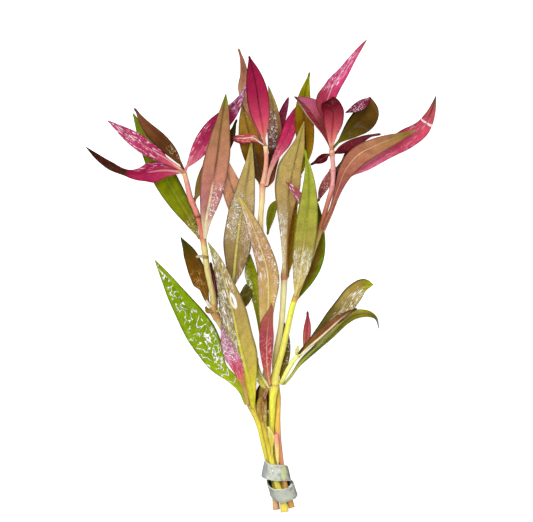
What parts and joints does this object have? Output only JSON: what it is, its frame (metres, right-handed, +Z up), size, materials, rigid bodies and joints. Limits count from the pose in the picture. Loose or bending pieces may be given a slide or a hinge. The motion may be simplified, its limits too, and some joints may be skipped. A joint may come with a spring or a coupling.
{
  "type": "bunch of aquarium plant cuttings",
  "caption": "Tied bunch of Alternanthera reineckii cuttings lying flat: lance-shaped green, olive, rose and magenta leaves on bare stems, with a soft grey strip round the cut ends.",
  "frame": {"origin": "centre of the bunch's outline on the surface that it lies on", "axes": "+Y from the cut ends to the leaf tips, +Z up from the surface"},
  "size_m": [0.1755, 0.2364, 0.0308],
  "materials": {
    "green": "satin",
    "dark_green": "satin",
    "olive": "satin",
    "brown": "satin",
    "rosy": "satin",
    "pink": "satin",
    "crimson": "satin",
    "maroon": "satin",
    "stem": "satin",
    "strip": "matt"
  },
  "bodies": {
    "root": {"BrokenStemPiece": "stem", "CentreCrimsonLeaf": "crimson", "CentreMagentaLeaf": "pink", "CentreOliveBackLeaf": "brown", "CentrePurpleTipLeaf": "maroon", "CentreRosyBackLeaf": "rosy", "CentreSmallPinkLeaf": "pink", "CentreSpeckledLeaf": "brown", "CentreTwistedLeaf": "rosy", "HiddenDarkLeaf": "dark_green", "InnerDarkLeaf": "brown", "InnerOliveLeaf": "olive", "InnerPinkTipLeaf": "pink", "InnerSmallLeaf": "dark_green", "InnerTallLeaf": "green", "LeftBroadOliveLeaf": "olive", "LeftBrownLeaf": "brown", "LeftCurledLeaf": "maroon", "LeftGreenLeaf": "green", "LeftMagentaLeaf": "pink", "LeftNarrowMaroonLeaf": "maroon", "LeftOliveBackLeaf": "dark_green", "LeftPinkLeaf": "pink", "LeftRosyLeaf": "rosy", "LeftTornLeaf": "brown", "LowerGreenLeaf": "green", "LowerLongOliveLeaf": "olive", "LowerPinkLeaf": "pink", "NodeCrimsonLeaf": "crimson", "NodeDarkLeaf": "dark_green", "NodeFoldedLeaf": "dark_green", "NodeGreenLeaf": "green", "NodeTanLeaf": "rosy", "RightDarkBackLeaf": "brown", "RightDarkNarrowLeaf": "dark_green", "RightGreenLeaf": "olive", "RightLongPinkLeaf": "pink", "RightSpeckledLeaf": "maroon", "RightTanLeaf": "rosy", "ShootBud": "stem", "ShootFoldedLeaf": "brown", "ShootGreenLeaf": "green", "ShootOliveLeaf": "olive", "ShootRedLeaf": "crimson", "SideShoot": "stem", "StemCentre": "stem", "StemInner": "stem", "StemLeft": "stem", "StemRight": "stem", "TieStrip": "strip", "TopMaroonLeftLeaf": "maroon", "TopMaroonRightLeaf": "maroon", "TopMauveLeaf": "maroon", "TopOliveLeaf": "olive", "TopPinkLeaf": "pink", "TopRedLeaf": "crimson", "WitheredScrap": "brown"}
  },
  "joints": []
}
